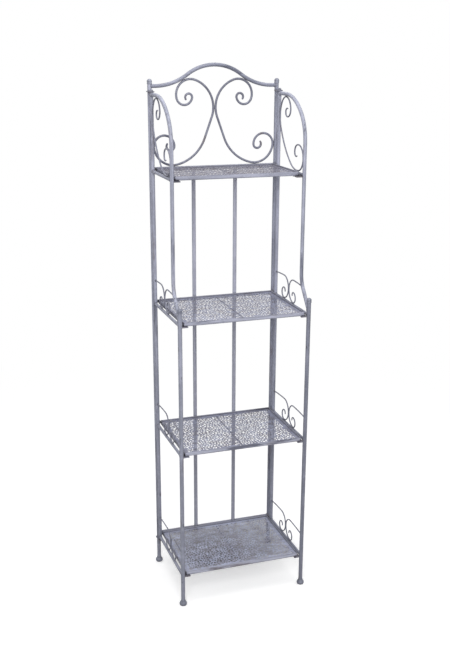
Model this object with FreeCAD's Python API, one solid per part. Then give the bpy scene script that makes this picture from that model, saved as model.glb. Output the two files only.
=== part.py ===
import FreeCAD, Part
import math
import os

# A folding metal etagere: a back frame, two side frames on vertical hinge pins, and four
# shelves that turn up about studs at their back corners.
# Millimetres. +Z up, the front looks along -Y, X is to the right, the feet stand on z = 0.
# The pieces are built with the centre lines of the two back posts in the plane y = 0, and
# are moved when they are written, so that the origin lies midway between posts and legs.
# A place in a side frame is given as (depth, height), with depth counted forwards from y = 0.

os.makedirs("parts", exist_ok=True)
V = FreeCAD.Vector

# ---------------------------------------------------------------- driving dimensions

# Stock
post_diameter = 12.5          # back posts and lower front legs
hoop_diameter = 11.0          # rear uprights, side hoops and the top arch
bar_diameter = 12.0           # inner bars of the back frame
back_rail_diameter = 10.0
side_rail_diameter = 9.0
tube_wall = 1.2
back_scroll_bar = 7.0         # round bar of the scrolls in the back frame
tall_scroll_bar = 4.5         # round bar of the tall scrolls in the side frames
small_scroll_bar = 4.0        # round bar of the small scrolls

# Places of the upright members
post_spacing = 392.0          # between the centre lines of the back posts
bar_spacing = 132.0           # between the centre lines of the inner bars
side_frame_offset = 1.0       # side frame plane, outboard of the post centre line
upright_depth = 23.5          # rear upright and hinge axis
upper_leg_depth = 225.0       # front leg beside the top tier
lower_leg_depth = 287.3       # front leg beside the three lower tiers

# Levels: the top of a shelf's rim, counted from the floor
lowest_level = 112.0
level_spacing = 398.5
shelf_count = 4

# Back frame
back_rail_drop = 5.0          # rail centre below its shelf's level
arch_rise = 58.5              # crown above the arch's ends
arch_crown_radius = 140.0
arch_end_flat = 16.0          # level run of the arch beside each post
post_above_arch = 13.0        # post tube above the arch's centre line
scroll_gap = 0.1              # between a scroll and what it is welded to

# Side frames
hoop_below_arch = 22.0        # hoop's top centre line below the ends of the top arch
hoop_flat = 54.0              # level run of the hoop in front of the rear upright
hoop_shoulder_ratio = 0.69    # second radius of the hoop's shoulder over its first
hoop_shoulder_turn = 45.0
hoop_landing = 1.3            # above the knee shelf's level, where hoop and lower leg meet
knee_radius = 70.0
knee_turn = 39.0
cap_above_hoop = 10.3         # leg cap's lower edge above the hoop's joint with the lower leg
upright_below_rail = 7.5      # rear upright's lower end below the lowest side rail's centre
side_rail_drop = 9.5          # side rail centre below its shelf's level

# Feet and caps
foot_height = 17.0
foot_base_radius = 10.0
foot_belly_radius = 11.7
foot_belly_height = 5.6
foot_shoulder_radius = 9.8
foot_shoulder_height = 11.4
foot_neck_radius = 7.2
foot_sole = 4.0               # solid metal under the tube
cap_radius = 7.7
cap_height = 14.0
cap_skirt = 7.0               # straight part of the cap, around the tube
fit_clearance = 0.05          # between a piece and the tube that it is fixed to

# Hinges of the side frames
tab_thickness = 3.0
tab_radius = 9.0
tab_gap = 0.3                 # between a tab and the end of the upright
pin_clearance = 0.1           # radial, between the pin and the upright's bore
pin_length = 20.0             # inside the upright
pin_stud_radius = 3.0         # where the pin passes the tab
pin_stud_height = 6.5         # beyond the tab

# Shelves
shelf_side_gap = 4.75         # between a shelf's side and a front leg of post stock
lower_front_setback = 1.8     # shelf's front behind the lower legs' centre line
upper_front_setback = 9.0     # top shelf's front behind the upper legs' centre line
hinge_depth = 12.0            # shelf hinge axis
hinge_drop = 4.5              # shelf hinge axis below the top of the rim
rear_overhang = 3.2           # shelf behind its hinge axis
rim_height = 12.0
rim_wall = 2.0
flange_width = 11.0
flange_thickness = 1.5
sheet_drop = 3.8              # top of the sheet below the top of the rim
sheet_thickness = 1.2
sheet_clearance = 0.3
brace_width = 10.0
brace_thickness = 2.0
hole_diameter = 7.0
hole_pitch = 18.0
hole_border = 12.0            # plain margin of the sheet

# Shelf studs and lugs
stud_diameter = 4.0
stud_clearance = 0.1          # radial, in the lug's bore
stud_length = 6.3
lug_side_gap = 1.5            # between the shelf and the lug
lug_thickness = 5.0
lug_radius = 5.5
lug_back_depth = 4.5          # rear end of the lug

# Pegs and forks
peg_diameter = 4.0
peg_length = 10.5
peg_inset = 7.0               # peg's centre from the shelf's side
fork_gap = 0.3                # between the rim and the fork plate
fork_thickness = 3.0
fork_reach = 6.0              # fork plate beyond the peg's centre, inboard
fork_slot_width = 9.4
fork_finger = 4.0             # fork plate behind the slot
fork_slot_end = 3.0           # slot beyond the peg's centre, towards the leg
fork_front = 3.0              # fork plate in front of the leg's centre line

# ---------------------------------------------------------------- derived places

post_radius = post_diameter / 2.0
hoop_radius = hoop_diameter / 2.0
post_x = post_spacing / 2.0
side_x = post_x + side_frame_offset
levels = [lowest_level + level_spacing * k for k in range(shelf_count)]
top_level = levels[-1]
knee_level = levels[-2]
shelf_half_width = side_x - post_radius - shelf_side_gap
upright_front = upright_depth + hoop_radius
upper_leg_back = upper_leg_depth - hoop_radius
lower_leg_back = lower_leg_depth - post_radius
top_rail_z = top_level - back_rail_drop
bottom_rail_z = lowest_level - back_rail_drop


# ---------------------------------------------------------------- bent bars and tubes

def on_back(u, v):
    """Point of the back frame's plane: u to the right, v up."""
    return V(u, 0, v)


def on_side(depth, height):
    """Point of the right side frame's plane."""
    return V(side_x, -depth, height)


def arc_point(start, heading, radius, turn):
    """Where a tangent arc of this radius is after this turn, in degrees, plus to the left."""
    side = 1.0 if turn > 0 else -1.0
    first = math.radians(heading)
    last = math.radians(heading + turn)
    u = start[0] + side * radius * (math.sin(last) - math.sin(first))
    v = start[1] - side * radius * (math.cos(last) - math.cos(first))
    return (u, v)


def run_point(start, heading, length):
    """The far end of a straight run."""
    angle = math.radians(heading)
    return (start[0] + length * math.cos(angle), start[1] + length * math.sin(angle))


def bent_edges(place, start, heading, bends):
    """Straights (length, 0) and tangent arcs (radius, turn), one after the other."""
    edges = []
    for size, turn in bends:
        if turn == 0:
            end = run_point(start, heading, size)
            edges.append(Part.makeLine(place(*start), place(*end)))
        else:
            middle = arc_point(start, heading, size, turn / 2.0)
            end = arc_point(start, heading, size, turn)
            edges.append(Part.Arc(place(*start), place(*middle), place(*end)).toShape())
            heading = heading + turn
        start = end
    return edges


def bent_bar(edges, diameter):
    """Round bar along the edges."""
    first = edges[0]
    start = first.valueAt(first.FirstParameter)
    along = first.tangentAt(first.FirstParameter)
    disc = Part.Face(Part.Wire(Part.makeCircle(diameter / 2.0, start, along)))
    return Part.Wire(edges).makePipe(disc)


def bent_tube(edges, diameter):
    """Round tube along the edges."""
    return bent_bar(edges, diameter).cut(bent_bar(edges, diameter - 2 * tube_wall))


def straight_bar(start, end, diameter):
    along = end - start
    return Part.makeCylinder(diameter / 2.0, along.Length, start, along)


def straight_tube(start, end, diameter):
    bore = straight_bar(start, end, diameter - 2 * tube_wall)
    return straight_bar(start, end, diameter).cut(bore)


def block(x0, x1, depth0, depth1, z0, z1):
    """Box between two x, two depths and two heights."""
    return Part.makeBox(x1 - x0, depth1 - depth0, z1 - z0, V(x0, -depth1, z0))


def upright_room(x, depth, diameter):
    """Tall cylinder, a fixing clearance larger than an upright member."""
    radius = diameter / 2.0 + fit_clearance
    tall = levels[-1] * 2.0
    return Part.makeCylinder(radius, tall, V(x, -depth, 0))


def mirrored(shape):
    """The left-hand twin of a right-hand shape."""
    return shape.mirror(V(0, 0, 0), V(1, 0, 0))


# ---------------------------------------------------------------- scrolls

def scroll_extent(start, heading, bends):
    """Lowest and highest u and v along the bends, looked at every few degrees."""
    looks = 60
    points = [start]
    for size, turn in bends:
        if turn == 0:
            start = run_point(start, heading, size)
            points.append(start)
            continue
        for k in range(1, looks + 1):
            points.append(arc_point(start, heading, size, turn * k / looks))
        start = points[-1]
        heading = heading + turn
    us = [point[0] for point in points]
    vs = [point[1] for point in points]
    return min(us), max(us), min(vs), max(vs)


def scroll_in_room(heading, bends, left, right, bottom, top):
    """Scale a scroll to its room and set it at the room's lower left corner.

    Returns the start and the bends at their real size.
    """
    u0, u1, v0, v1 = scroll_extent((0.0, 0.0), heading, bends)
    scale = min((right - left) / (u1 - u0), (top - bottom) / (v1 - v0))
    sized = [(size * scale, turn) for size, turn in bends]
    start = (left - u0 * scale, bottom - v0 * scale)
    return start, sized


# The back frame's scroll, from the inner end of its upper curl to that of its lower one,
# with the turn of its first tangent from level.
# Its crown is the arc that carries the top arch.
back_scroll_turn = 41.5
back_scroll_curl = [(10.5, 239), (24.0, 154.5)]
back_scroll_crown = [(43.5, 124)]
back_scroll_body = [(82.5, 91), (63.5, 0), (117.5, 58), (58.0, 96), (31.0, 187.5), (12.0, 227.5)]
back_scroll_bends = back_scroll_curl + back_scroll_crown + back_scroll_body

# The tall scroll of a side frame, in the same order
tall_scroll_turn = 153.0
tall_scroll_bends = [(11.8, 188), (22.4, 120), (36.8, 128), (69.0, 68), (7.0, 0),
                     (255.0, 27.5), (84.0, 45), (36.8, 192), (21.0, 75), (11.5, 125)]


def back_scroll_path():
    left = back_scroll_bar / 2.0 + scroll_gap
    right = post_x - post_radius - left
    bottom = top_rail_z + back_rail_diameter / 2.0 + left
    room_top = bottom + 2.0 * (right - left)
    return scroll_in_room(back_scroll_turn, back_scroll_bends, left, right, bottom, room_top)


def crown_centre():
    """Centre and radius of the scroll's arc that the top arch lies on."""
    start, bends = back_scroll_path()
    heading = back_scroll_turn
    before_crown = len(back_scroll_curl)
    for size, turn in bends[:before_crown]:
        start = arc_point(start, heading, size, turn)
        heading = heading + turn
    radius = bends[before_crown][0]
    angle = math.radians(heading)
    centre = (start[0] - radius * math.sin(angle), start[1] + radius * math.cos(angle))
    return centre, radius


# Top arch: two hollow end arcs and a crown arc between them, all tangent
arch_end_x = post_x - arch_end_flat
arch_turn = 2.0 * math.degrees(math.atan2(arch_rise, arch_end_x))
arch_end_radius = arch_rise / (1.0 - math.cos(math.radians(arch_turn))) - arch_crown_radius
scroll_crown, scroll_crown_radius = crown_centre()
arch_reach = (arch_end_radius + hoop_radius + scroll_gap + back_scroll_bar / 2.0
              + scroll_crown_radius)
arch_end_z = (scroll_crown[1] - arch_end_radius
              + math.sqrt(arch_reach ** 2 - (arch_end_x - scroll_crown[0]) ** 2))
total_height = arch_end_z + arch_rise + hoop_radius
post_top = arch_end_z + post_above_arch
hoop_top = arch_end_z - hoop_below_arch


# ---------------------------------------------------------------- feet and caps

def turned(points_and_arcs, x, depth, z):
    """Solid of revolution about an upright axis, from a closed half outline."""
    edges = []
    for piece in points_and_arcs:
        ends = [V(radius, 0, height) for radius, height in piece]
        if len(ends) == 2:
            edges.append(Part.makeLine(*ends))
        else:
            edges.append(Part.Arc(*ends).toShape())
    face = Part.Face(Part.Wire(edges))
    solid = face.revolve(V(0, 0, 0), V(0, 0, 1), 360)
    solid.translate(V(x, -depth, z))
    return solid


def foot(x, depth):
    """Bell foot with a socket for the tube."""
    socket = post_radius + fit_clearance
    belly = (foot_belly_radius, foot_belly_height)
    shoulder = (foot_shoulder_radius, foot_shoulder_height)
    outline = [
        [(0, 0), (foot_base_radius, 0)],
        [(foot_base_radius, 0), belly, shoulder],
        [shoulder, (foot_neck_radius, foot_height)],
        [(foot_neck_radius, foot_height), (socket, foot_height)],
        [(socket, foot_height), (socket, foot_sole)],
        [(socket, foot_sole), (0, foot_sole)],
        [(0, foot_sole), (0, 0)],
    ]
    return turned(outline, x, depth, 0)


def cap(x, depth, tube_top):
    """Domed cap over the end of a tube. Its skirt reaches below the tube's top."""
    socket = post_radius + fit_clearance
    dome = cap_height - cap_skirt
    dome_radius = (cap_radius ** 2 + dome ** 2) / (2.0 * dome)
    half_angle = math.asin(cap_radius / dome_radius) / 2.0
    dome_middle = (dome_radius * math.sin(half_angle),
                   cap_height - dome_radius * (1.0 - math.cos(half_angle)))
    outline = [
        [(socket, 0), (cap_radius, 0)],
        [(cap_radius, 0), (cap_radius, cap_skirt)],
        [(cap_radius, cap_skirt), dome_middle, (0, cap_height)],
        [(0, cap_height), (0, cap_skirt)],
        [(0, cap_skirt), (socket, cap_skirt)],
        [(socket, cap_skirt), (socket, 0)],
    ]
    return turned(outline, x, depth, tube_top + fit_clearance - cap_skirt)


# ---------------------------------------------------------------- back frame

def back_post():
    return straight_tube(V(post_x, 0, foot_sole + fit_clearance), V(post_x, 0, post_top), post_diameter)


def top_arch():
    turn = arch_turn
    bends = [(arch_end_flat, 0), (arch_end_radius, turn), (arch_crown_radius, -2 * turn),
             (arch_end_radius, turn), (arch_end_flat, 0)]
    edges = bent_edges(on_back, (-post_x, arch_end_z), 0, bends)
    room = upright_room(post_x, 0, post_diameter)
    return bent_tube(edges, hoop_diameter).cut(room).cut(mirrored(room))


def back_rail(z):
    rail = straight_tube(V(-post_x, 0, z), V(post_x, 0, z), back_rail_diameter)
    room = upright_room(post_x, 0, post_diameter)
    return rail.cut(room).cut(mirrored(room))


def back_rail_room(z):
    """Cylinder a fixing clearance larger than a back rail."""
    return straight_bar(V(-post_x, 0, z), V(post_x, 0, z), back_rail_diameter + 2 * fit_clearance)


def inner_bar():
    x = bar_spacing / 2.0
    bar = straight_tube(V(x, 0, bottom_rail_z), V(x, 0, top_rail_z), bar_diameter)
    return bar.cut(back_rail_room(bottom_rail_z)).cut(back_rail_room(top_rail_z))


def back_scroll():
    start, bends = back_scroll_path()
    edges = bent_edges(on_back, start, back_scroll_turn, bends)
    return bent_bar(edges, back_scroll_bar)


upright_bottom = lowest_level - side_rail_drop - upright_below_rail
upright_top = hoop_top + hoop_radius


def hinge_tab(z):
    """Plate from the post to a round end about the hinge axis."""
    plate = block(side_x - tab_radius, side_x + tab_radius, 0, upright_depth, z, z + tab_thickness)
    nose = Part.makeCylinder(tab_radius, tab_thickness, V(side_x, -upright_depth, z))
    bore = Part.makeCylinder(pin_stud_radius + fit_clearance, tab_thickness, V(side_x, -upright_depth, z))
    return plate.fuse(nose).removeSplitter().cut(bore).cut(upright_room(post_x, 0, post_diameter))


def hinge_pin(z, up):
    """Pin with its shoulder at the tab. up is 1 where the stud points up, else -1."""
    shoulder_radius = hoop_radius - tube_wall - pin_clearance
    axis = V(0, 0, up)
    foot_point = V(side_x, -upright_depth, z)
    body = Part.makeCylinder(shoulder_radius, pin_length, foot_point, axis * -1)
    stud = Part.makeCylinder(pin_stud_radius, tab_thickness + pin_stud_height, foot_point, axis)
    return body.fuse(stud)


top_tab_z = upright_top + tab_gap
bottom_tab_z = upright_bottom - tab_gap - tab_thickness
stud_x = shelf_half_width + lug_side_gap


def shelf_lug(level):
    """Lug on the post's inner side, with the bore for a shelf stud."""
    z = level - hinge_drop
    x0 = stud_x
    x1 = stud_x + lug_thickness
    web = block(x0, x1, lug_back_depth, hinge_depth, z - lug_radius, z + lug_radius)
    nose = Part.makeCylinder(lug_radius, lug_thickness, V(x0, -hinge_depth, z), V(1, 0, 0))
    bore = Part.makeCylinder(stud_diameter / 2.0 + stud_clearance, lug_thickness,
                             V(x0, -hinge_depth, z), V(1, 0, 0))
    lug = web.fuse(nose).removeSplitter().cut(bore).cut(upright_room(post_x, 0, post_diameter))
    return lug.cut(back_rail_room(bottom_rail_z)).cut(back_rail_room(top_rail_z))


# ---------------------------------------------------------------- side frame, right hand

# The hoop's shoulder: two arcs that end at the upper leg's centre line
hoop_curve_start = upright_depth + hoop_flat
shoulder_sine = math.sin(math.radians(hoop_shoulder_turn))
shoulder_radius_1 = ((upper_leg_depth - hoop_curve_start)
                     / (shoulder_sine + hoop_shoulder_ratio * (1.0 - shoulder_sine)))
shoulder_radius_2 = hoop_shoulder_ratio * shoulder_radius_1
quarter_turn = 90.0
shoulder_bends = [(hoop_flat, 0), (shoulder_radius_1, -hoop_shoulder_turn),
                  (shoulder_radius_2, hoop_shoulder_turn - quarter_turn)]

# The hoop's foot: a bend and a straight run to the lower leg's centre line
hoop_landing_z = knee_level + hoop_landing
knee_tangent = math.tan(math.radians(knee_turn))
knee_sine = math.sin(math.radians(knee_turn))
knee_reach = knee_radius * (1.0 - math.cos(math.radians(knee_turn)))
knee_run = (lower_leg_depth - upper_leg_depth - knee_reach) / knee_sine
knee_z = hoop_landing_z + knee_run * math.cos(math.radians(knee_turn)) + knee_radius * knee_sine
hoop_joint_top = hoop_landing_z + post_radius / knee_tangent + hoop_radius / knee_sine
leg_top = hoop_joint_top + cap_above_hoop + cap_skirt


def hoop_edges():
    """From the rear upright over the shoulder, down the upper leg and out to the lower leg."""
    start = (upright_depth, hoop_top)
    edges = bent_edges(on_side, start, 0, shoulder_bends)
    shoulder_end = edges[-1].valueAt(edges[-1].LastParameter).z
    bends = [(shoulder_end - knee_z, 0), (knee_radius, knee_turn), (knee_run, 0)]
    return edges + bent_edges(on_side, (upper_leg_depth, shoulder_end), -quarter_turn, bends)


def rear_upright():
    return straight_tube(on_side(upright_depth, upright_bottom), on_side(upright_depth, upright_top),
                         hoop_diameter)


def side_hoop():
    hoop = bent_tube(hoop_edges(), hoop_diameter)
    hoop = hoop.cut(upright_room(side_x, upright_depth, hoop_diameter))
    return hoop.cut(upright_room(side_x, lower_leg_depth, post_diameter))


def lower_leg():
    return straight_tube(on_side(lower_leg_depth, foot_sole + fit_clearance),
                         on_side(lower_leg_depth, leg_top), post_diameter)


def leg_depth_and_stock(level):
    """Centre line and stock of the front leg at a shelf."""
    if level > knee_level:
        return upper_leg_depth, hoop_diameter
    return lower_leg_depth, post_diameter


def side_rail(level):
    z = level - side_rail_drop
    depth, stock = leg_depth_and_stock(level)
    rail = straight_tube(on_side(upright_depth, z), on_side(depth, z), side_rail_diameter)
    rail = rail.cut(upright_room(side_x, upright_depth, hoop_diameter))
    return rail.cut(upright_room(side_x, depth, stock))


def rail_top(level):
    return level - side_rail_drop + side_rail_diameter / 2.0


def tall_scroll():
    touch = tall_scroll_bar / 2.0 + scroll_gap
    start, bends = scroll_in_room(tall_scroll_turn, tall_scroll_bends,
                                  upright_front + touch, upper_leg_back - touch,
                                  rail_top(top_level) + touch, hoop_top - hoop_radius - touch)
    return bent_bar(bent_edges(on_side, start, tall_scroll_turn, bends), tall_scroll_bar)


# A small scroll: a tail from the upright member, a round body and two closing curls
small_body_radius = 35.0
small_curls = [(16.0, 180), (9.0, 115)]
small_tail_turn = 6.0


def small_scroll(stand_depth, middle, level, facing):
    """facing is 1 where the scroll hangs on the member behind it, -1 on the one in front."""
    touch = small_scroll_bar / 2.0 + scroll_gap
    centre = middle - facing * (touch + small_body_radius)
    base = rail_top(level) + touch
    tail_length = abs(centre - stand_depth)
    tail_radius = tail_length / math.sin(math.radians(small_tail_turn))
    tail_drop = tail_radius * (1.0 - math.cos(math.radians(small_tail_turn)))
    start = (0.0, base + 2 * small_body_radius - tail_drop)
    bends = [(tail_radius, -small_tail_turn), (small_body_radius, -180)]
    bends += [(radius, -turn) for radius, turn in small_curls]

    def place(u, v):
        return on_side(stand_depth + facing * u, v)

    return bent_bar(bent_edges(place, start, small_tail_turn, bends), small_scroll_bar)


def front_stand(level):
    """Depth of the front member's centre line where a small scroll meets it."""
    if level < knee_level:
        return lower_leg_depth
    meeting = rail_top(level) + 2 * small_body_radius
    drop = (knee_z - meeting) / knee_radius
    return upper_leg_depth + knee_radius * (1.0 - math.sqrt(max(0.0, 1.0 - drop * drop)))


def scroll_pair(level):
    stand = front_stand(level)
    stock = hoop_diameter if level >= knee_level else post_diameter
    middle = (upright_front + stand - stock / 2.0) / 2.0
    rear = small_scroll(upright_depth, middle, level, 1)
    rear = rear.cut(upright_room(side_x, upright_depth, hoop_diameter))
    front = small_scroll(stand, middle, level, -1)
    front = front.cut(upright_room(side_x, lower_leg_depth, post_diameter))
    if level >= knee_level:
        front = front.cut(bent_bar(hoop_edges(), hoop_diameter + 2 * fit_clearance))
    return Part.makeCompound([rear, front])


def shelf_front(level):
    if level > knee_level:
        return upper_leg_depth - upper_front_setback
    return lower_leg_depth - lower_front_setback


def peg_depth(level):
    return shelf_front(level) - rim_wall - flange_width / 2.0


peg_x = shelf_half_width - peg_inset


def shelf_fork(level):
    """Plate on the leg with a slot, open inboard, for the shelf's peg."""
    leg, stock = leg_depth_and_stock(level)
    top = level - rim_height - fork_gap
    peg = peg_depth(level)
    rail_side = side_x - side_rail_diameter / 2.0 - fork_gap
    slot_back = peg - fork_slot_width / 2.0
    plate = block(peg_x - fork_reach, rail_side, slot_back - fork_finger, leg + fork_front,
                  top - fork_thickness, top)
    slot = block(peg_x - fork_reach, peg_x + fork_slot_end, slot_back,
                 slot_back + fork_slot_width, top - fork_thickness, top)
    return plate.cut(slot).cut(upright_room(side_x, leg, stock))


# ---------------------------------------------------------------- shelves

def shelf_frame(level):
    """Rim with a flange inside that the sheet lies on."""
    half = shelf_half_width
    back = hinge_depth - rear_overhang
    front = shelf_front(level)
    inner = half - rim_wall
    ledge = inner - flange_width
    flange_top = level - sheet_drop - sheet_thickness
    outer = block(-half, half, back, front, level - rim_height, level)
    outer = outer.cut(block(-inner, inner, back + rim_wall, front - rim_wall, level - rim_height, level))
    flange_bottom = flange_top - flange_thickness
    flange = block(-inner, inner, back + rim_wall, front - rim_wall, flange_bottom, flange_top)
    flange = flange.cut(block(-ledge, ledge, back + rim_wall + flange_width,
                              front - rim_wall - flange_width, flange_bottom, flange_top))
    return outer.fuse(flange).removeSplitter()


def shelf_sheet(level):
    """Sheet with staggered rows of round holes."""
    half = shelf_half_width - rim_wall - sheet_clearance
    back = hinge_depth - rear_overhang + rim_wall + sheet_clearance
    front = shelf_front(level) - rim_wall - sheet_clearance
    bottom = level - sheet_drop - sheet_thickness
    field_wide = 2 * (half - hole_border) - hole_diameter
    field_deep = front - back - 2 * hole_border - hole_diameter
    row_step = hole_pitch * math.sqrt(3.0) / 2.0
    rows = int(field_deep / row_step) + 1
    columns = int(field_wide / hole_pitch) + 1
    first_depth = (front + back) / 2.0 - row_step * (rows - 1) / 2.0
    outline = Part.makePolygon([V(-half, -back, bottom), V(half, -back, bottom),
                                V(half, -front, bottom), V(-half, -front, bottom), V(-half, -back, bottom)])
    wires = [outline]
    for row in range(rows):
        count = columns - row % 2
        for column in range(count):
            x = hole_pitch * (column - (count - 1) / 2.0)
            centre = V(x, -(first_depth + row_step * row), bottom)
            wires.append(Part.Wire(Part.makeCircle(hole_diameter / 2.0, centre)))
    face = Part.makeFace(wires, "Part::FaceMakerBullseye")
    return face.extrude(V(0, 0, sheet_thickness))


def shelf_brace(level):
    """Flat bar under the flanges, from the front of the rim to its back."""
    top = level - sheet_drop - sheet_thickness - flange_thickness
    back = hinge_depth - rear_overhang + rim_wall
    front = shelf_front(level) - rim_wall
    return block(-brace_width / 2.0, brace_width / 2.0, back, front, top - brace_thickness, top)


def shelf_pegs(level):
    """Two pivot studs on the hinge axis and two pegs under the front corners."""
    axis_z = level - hinge_drop
    stud = Part.makeCylinder(stud_diameter / 2.0, stud_length,
                             V(shelf_half_width, -hinge_depth, axis_z), V(1, 0, 0))
    peg_top = level - sheet_drop - sheet_thickness - flange_thickness
    peg = Part.makeCylinder(peg_diameter / 2.0, peg_length,
                            V(peg_x, -peg_depth(level), peg_top - peg_length))
    return Part.makeCompound([stud, mirrored(stud), peg, mirrored(peg)])


# ---------------------------------------------------------------- all nodes

def pair_of_sides(nodes, name, right_shape):
    nodes[name + "_right"] = right_shape
    nodes[name + "_left"] = mirrored(right_shape)


def back_frame_nodes():
    nodes = {}
    pair_of_sides(nodes, "back_post", back_post())
    pair_of_sides(nodes, "back_finial", cap(post_x, 0, post_top))
    pair_of_sides(nodes, "back_foot", foot(post_x, 0))
    nodes["top_arch"] = top_arch()
    nodes["top_rail"] = back_rail(top_rail_z)
    nodes["bottom_rail"] = back_rail(bottom_rail_z)
    pair_of_sides(nodes, "inner_bar", inner_bar())
    pair_of_sides(nodes, "back_scroll", back_scroll())
    tabs = [hinge_tab(top_tab_z), hinge_tab(bottom_tab_z)]
    nodes["hinge_tabs"] = Part.makeCompound(tabs + [mirrored(tab) for tab in tabs])
    pins = [hinge_pin(top_tab_z, 1), hinge_pin(bottom_tab_z + tab_thickness, -1)]
    nodes["hinge_pins"] = Part.makeCompound(pins + [mirrored(pin) for pin in pins])
    lugs = [shelf_lug(level) for level in levels]
    nodes["shelf_lugs"] = Part.makeCompound(lugs + [mirrored(lug) for lug in lugs])
    return nodes


def side_frame_nodes():
    nodes = {}
    pair_of_sides(nodes, "rear_upright", rear_upright())
    pair_of_sides(nodes, "side_hoop", side_hoop())
    pair_of_sides(nodes, "lower_leg", lower_leg())
    pair_of_sides(nodes, "leg_cap", cap(side_x, lower_leg_depth, leg_top))
    pair_of_sides(nodes, "leg_foot", foot(side_x, lower_leg_depth))
    pair_of_sides(nodes, "tall_scroll", tall_scroll())
    for number, level in enumerate(levels, start=1):
        pair_of_sides(nodes, "side_rail_%d" % number, side_rail(level))
        if level < top_level:
            pair_of_sides(nodes, "scroll_pair_%d" % number, scroll_pair(level))
    forks = Part.makeCompound([shelf_fork(level) for level in levels])
    pair_of_sides(nodes, "shelf_forks", forks)
    return nodes


def shelf_nodes():
    nodes = {}
    for number, level in enumerate(levels, start=1):
        nodes["shelf_%d_frame" % number] = shelf_frame(level)
        nodes["shelf_%d_sheet" % number] = shelf_sheet(level)
        nodes["shelf_%d_brace" % number] = shelf_brace(level)
        nodes["shelf_%d_pegs" % number] = shelf_pegs(level)
    return nodes


all_nodes = {}
all_nodes.update(back_frame_nodes())
all_nodes.update(side_frame_nodes())
all_nodes.update(shelf_nodes())
to_origin = V(0, lower_leg_depth / 2.0, 0)
for name, shape in all_nodes.items():
    shape.translate(to_origin)
    shape.exportStep("parts/%s.step" % name)
print("%d nodes, %.1f mm high" % (len(all_nodes), total_height))
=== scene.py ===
# %% [markdown]
# # Dressing a folding metal etagere
# The object is a tall stand of painted steel tube: a back frame with two C-scrolls under a
# curved arch, two side frames on upright hinge pins, and four shelves of pressed lace sheet
# that lift at their front edge. Its solids come packed, each on the body that moves it. This
# lesson dresses them: it keeps the plain tubes and gives them an aged paint, and it builds
# again, with more detail, the pieces whose plain solids look too simple: the lace sheets, the
# rolled rims, the pressed braces, the forged scrolls, and the turned caps, feet, pins and pegs.
# It also adds the beads of weld that hold the bars together.

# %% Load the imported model
import bpy
import bmesh
import math
from mathutils import Matrix, Vector, noise
from mathutils.bvhtree import BVHTree
from mathutils.geometry import delaunay_2d_cdt
from mathutils.kdtree import KDTree


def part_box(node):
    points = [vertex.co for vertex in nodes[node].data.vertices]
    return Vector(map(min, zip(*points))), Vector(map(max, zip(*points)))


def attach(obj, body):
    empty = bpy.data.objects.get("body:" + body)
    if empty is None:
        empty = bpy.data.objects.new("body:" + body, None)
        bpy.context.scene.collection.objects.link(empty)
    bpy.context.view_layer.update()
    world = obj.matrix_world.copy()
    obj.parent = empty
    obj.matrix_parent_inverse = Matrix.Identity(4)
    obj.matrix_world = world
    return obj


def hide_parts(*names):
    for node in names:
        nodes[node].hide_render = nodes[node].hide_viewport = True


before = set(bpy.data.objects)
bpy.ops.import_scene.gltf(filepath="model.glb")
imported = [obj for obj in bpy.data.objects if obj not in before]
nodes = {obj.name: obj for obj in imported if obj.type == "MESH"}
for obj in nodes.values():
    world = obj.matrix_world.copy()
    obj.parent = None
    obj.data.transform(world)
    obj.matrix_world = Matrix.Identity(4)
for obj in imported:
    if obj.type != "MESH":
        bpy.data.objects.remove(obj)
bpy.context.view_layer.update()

# %% [markdown]
# ## Measures
# Everything is in metres, and z is up. A piece that stands for a solid is measured from that
# solid's own box, so nothing has to be put in place by eye. The helpers give the low corner,
# the high corner, the middle and half the size of a solid.

# %% Helpers for measuring
mm = 0.001
SIDES = {"left": -1.0, "right": 1.0}
SHELVES = (1, 2, 3, 4)


def low(node):
    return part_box(node)[0]


def high(node):
    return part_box(node)[1]


def middle(node):
    return (low(node) + high(node)) / 2.0


def half_size(node):
    return (high(node) - low(node)) / 2.0


post_x, post_y = middle("back_post_right").xy
post_radius = half_size("back_post_right").x
side_x, upright_y = middle("rear_upright_right").xy
hoop_radius = half_size("rear_upright_right").x
leg_y = middle("lower_leg_right").y
tall_scroll_gap = 0.1 * mm
upper_leg_y = low("tall_scroll_right").y - tall_scroll_gap - hoop_radius
levels = {n: high("shelf_%d_frame" % n).z for n in SHELVES}
print("posts at x", round(post_x, 4), "side frames at x", round(side_x, 4))
print("shelf levels", {n: round(z, 4) for n, z in levels.items()})

# %% [markdown]
# ## The camera
# The stand is seen from a little above and to its left, by a longish lens. A small shift keeps
# the upright members nearly upright in the frame, as with a view camera.

# %% Camera


def add_object(name, data):
    """An object of this data, in the scene."""
    made = bpy.data.objects.new(name, data)
    bpy.context.scene.collection.objects.link(made)
    return made


camera_data = bpy.data.cameras.new("camera")
camera = add_object("camera", camera_data)
camera_place = (-0.9348, -2.6958, 1.6680)
look_right, look_down, tilt = 19.61, 18.88, 0.43
camera.matrix_world = (Matrix.Translation(camera_place)
                       @ Matrix.Rotation(math.radians(-look_right), 4, "Z")
                       @ Matrix.Rotation(math.radians(90.0 - look_down), 4, "X")
                       @ Matrix.Rotation(math.radians(tilt), 4, "Z"))
camera_data.lens = 54.28
camera_data.sensor_width = 36.0
camera_data.shift_x = -0.0184
camera_data.shift_y = 0.0745
camera_data.clip_end = 60.0
bpy.context.scene.camera = camera
bpy.context.scene.view_settings.view_transform = "Standard"
print("lens", camera_data.lens)

# %% [markdown]
# ## Helpers for node trees
# A paint is a tree of small nodes. One helper adds a node, fills its inputs and links any
# socket that is handed to it. Three more give the result of the nodes that are used most: what
# Math makes of two values, a value carried from one range to another, and one colour laid over
# another.

# %% Node helpers


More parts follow.
